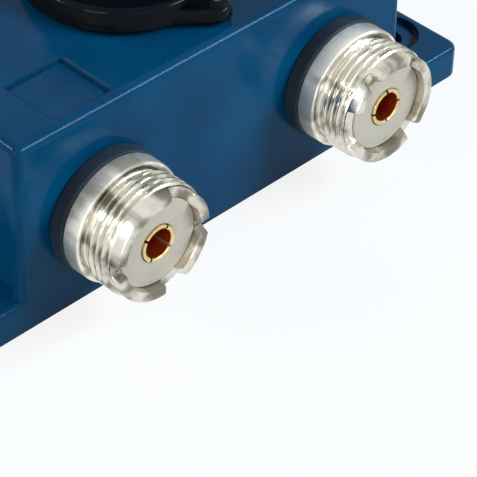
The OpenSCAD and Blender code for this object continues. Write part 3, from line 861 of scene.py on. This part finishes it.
def bar_shape():
    """Made as a straight block first; then its top is cut across and lowered towards the tip.

    Each level is a share of the height, and how far the outline draws in at the bar and at the
    tip. The lowest lies inside the skirt: undersides in one plane would spoil the join.
    """
    shoulder, lean_bar, lean_tip, edge_bar, edge_tip = 0.9, 1.1, 0.45, 0.8, 0.5
    levels = [(share, lean_bar * lean, lean_tip * lean)
              for share, lean in ((0.03, 0), (0.3, 0.33), (0.6, 0.66), (shoulder, 1))]
    levels += [(shoulder + (1 - shoulder) * rise, lean_bar + edge_bar * inset,
                lean_tip + edge_tip * inset) for rise, inset in quarter_round(7)]
    rings = []
    for share, off_bar, off_tip in levels:
        outline = drop_outline(BAR_R - off_bar, BAR_FRONT_Y, BAR_TIP_R - off_tip, TIP_Y)
        back = BAR_BACK_Y - BAR_FRONT_Y
        rings.append([(p.x, p.y + back * (p.y > BAR_FRONT_Y), share * KNOB_H) for p in outline])
    bm = lofted(rings)
    for i in range(CUTS):
        cut_at = (0, (CUT_FROM_Y - CUT_STEP * i) * MM, 0)
        bmesh.ops.bisect_plane(bm, geom=bm.verts[:] + bm.edges[:] + bm.faces[:], dist=1e-6,
                               plane_co=cut_at, plane_no=(0, 1, 0))
    for v in bm.verts:
        v.co.z *= bar_top(v.co.y / MM) / KNOB_H
    return tidy(bm)


def web_shape():
    """The hollow curve that runs from the foot's edge up into the bar's sides."""
    low, high, steps, hollow, under_top = 0.9, 6.0, 10, 2.6, 0.96
    foot = drop_outline(ROOT_R - 0.4, ROOT_Y, TIP_R - 0.4, TIP_Y)
    bar = drop_outline(BAR_R - 0.9, BAR_FRONT_Y, BAR_TIP_R - 1.0, TIP_Y)
    rings = []
    for i in range(steps + 1):
        spread = math.exp(-hollow * i / steps)
        points = [narrow.lerp(wide, spread) for narrow, wide in zip(bar, foot)]
        rings.append([(p.x, p.y, low + (high - low) * i / steps) for p in points])
    bm = lofted(rings)
    for v in bm.verts:
        v.co.z *= min(1, under_top * bar_top(v.co.y / MM) / high)
    return tidy(bm)


# %% Join and drill the knob
def knob_shape():
    bm = combined(skirt_shape(), [foot_shape(), bar_shape(), web_shape()], "UNION")
    under = [(0, -1), (HOLLOW_R, -1), (HOLLOW_R, HOLLOW_TOP), (INSERT_R, HOLLOW_TOP),
             (INSERT_R, INSERT_TOP), (0, INSERT_TOP)]
    screw_way = turned(rod(SCREW_WAY_R, 0, 20), -math.pi / 2, "X")
    bm = combined(bm, [spun(under, 64), moved(screw_way, z=SCREW_WAY_Z)])
    return moved(turned(bm, REST_TURN, "Z"), z=KNOB_Z)


piece(knob_shape(), "pointer_knob", "black_plastic", "knob_shaft", ["knob"], 40)

# %% [markdown]
# ## Studio
# The object stands on a plain pale floor under soft light. The floor and the world are white to
# the camera and to the rays that metal and gloss send on, so that the nickel has something
# bright to mirror. To all other rays the floor is matt and the world is a dim sky, so the lamps
# light the object and a shadow shows under it.

# %% Rays that show the background
def showing_rays(tree):
    """1 for rays from the camera, and for those that a gloss or a glass sends on."""
    path = tree.nodes.new("ShaderNodeLightPath")
    share = path.outputs["Is Camera Ray"]
    for kind in ("Is Glossy Ray", "Is Transmission Ray"):
        step = tree.nodes.new("ShaderNodeMath")
        step.operation = "MAXIMUM"
        tree.links.new(share, step.inputs[0])
        tree.links.new(path.outputs[kind], step.inputs[1])
        share = step.outputs[0]
    return share


def end_with_mix(tree, share, plain, shown, output_kind):
    """Ends a tree with a mix of two shaders: the plain one at share 0, the other at 1."""
    mix = tree.nodes.new("ShaderNodeMixShader")
    output = tree.nodes.new(output_kind)
    tree.links.new(share, mix.inputs["Fac"])
    tree.links.new(plain.outputs[0], mix.inputs[1])
    tree.links.new(shown.outputs[0], mix.inputs[2])
    tree.links.new(mix.outputs[0], output.inputs[0])


# %% Floor
FLOOR_WHITE = 0.85
FLOOR_HALF = 1.5


def pale_floor():
    """Mostly plain white, with enough of a matt floor left to hold the shadow."""
    bm = bmesh.new()
    bmesh.ops.create_grid(bm, x_segments=2, y_segments=2, size=FLOOR_HALF)
    floor = as_object(bm, "floor")
    material = bpy.data.materials.new("pale_floor")
    material.use_nodes = True
    tree = material.node_tree
    tree.nodes.clear()
    share = tree.nodes.new("ShaderNodeMath")
    share.operation = "MULTIPLY"
    share.inputs[1].default_value = FLOOR_WHITE
    tree.links.new(showing_rays(tree), share.inputs[0])
    plain = tree.nodes.new("ShaderNodeBsdfDiffuse")
    plain.inputs["Color"].default_value = (0.8, 0.8, 0.8, 1)
    white = tree.nodes.new("ShaderNodeEmission")
    end_with_mix(tree, share.outputs[0], plain, white, "ShaderNodeOutputMaterial")
    floor.data.materials.append(material)


pale_floor()


# %% Lamps
COOL = (0.66, 0.84, 1.0)


def lamp(name, place, size, power, tint=(1, 1, 1)):
    """A rectangle of light that faces the object. Its place is in metres."""
    data = bpy.data.lights.new(name, "AREA")
    data.shape = "RECTANGLE"
    data.size, data.size_y = size
    data.energy = power
    data.color = tint
    made = bpy.data.objects.new(name, data)
    made.location = place
    made.rotation_euler = (-Vector(place)).to_track_quat("-Z", "Y").to_euler()
    bpy.context.scene.collection.objects.link(made)


lamp("left_back_strip", (-0.45, 0.38, 0.39), (0.34, 0.07), 3.4, COOL)
lamp("right_strip", (0.40, -0.47, 0.40), (0.5, 0.12), 8.4, COOL)
lamp("left_softbox", (-0.55, -0.20, 0.22), (0.25, 0.35), 1.3)
lamp("front_softbox", (-0.16, -0.62, 0.16), (0.5, 0.2), 0.3)
print("Lamps:", len(bpy.data.lights))


# %% World
def studio_world():
    """White where it shows, and a dim soft sky to all other rays."""
    world = bpy.data.worlds.new("studio")
    world.use_nodes = True
    tree = world.node_tree
    tree.nodes.clear()
    white = tree.nodes.new("ShaderNodeBackground")
    white.inputs[0].default_value = (1, 1, 1, 1)
    sky = tree.nodes.new("ShaderNodeBackground")
    sky.inputs[0].default_value = (0.12, 0.14, 0.16, 1)
    end_with_mix(tree, showing_rays(tree), sky, white, "ShaderNodeOutputWorld")
    bpy.context.scene.world = world


studio_world()
bpy.context.scene.view_settings.view_transform = "Standard"
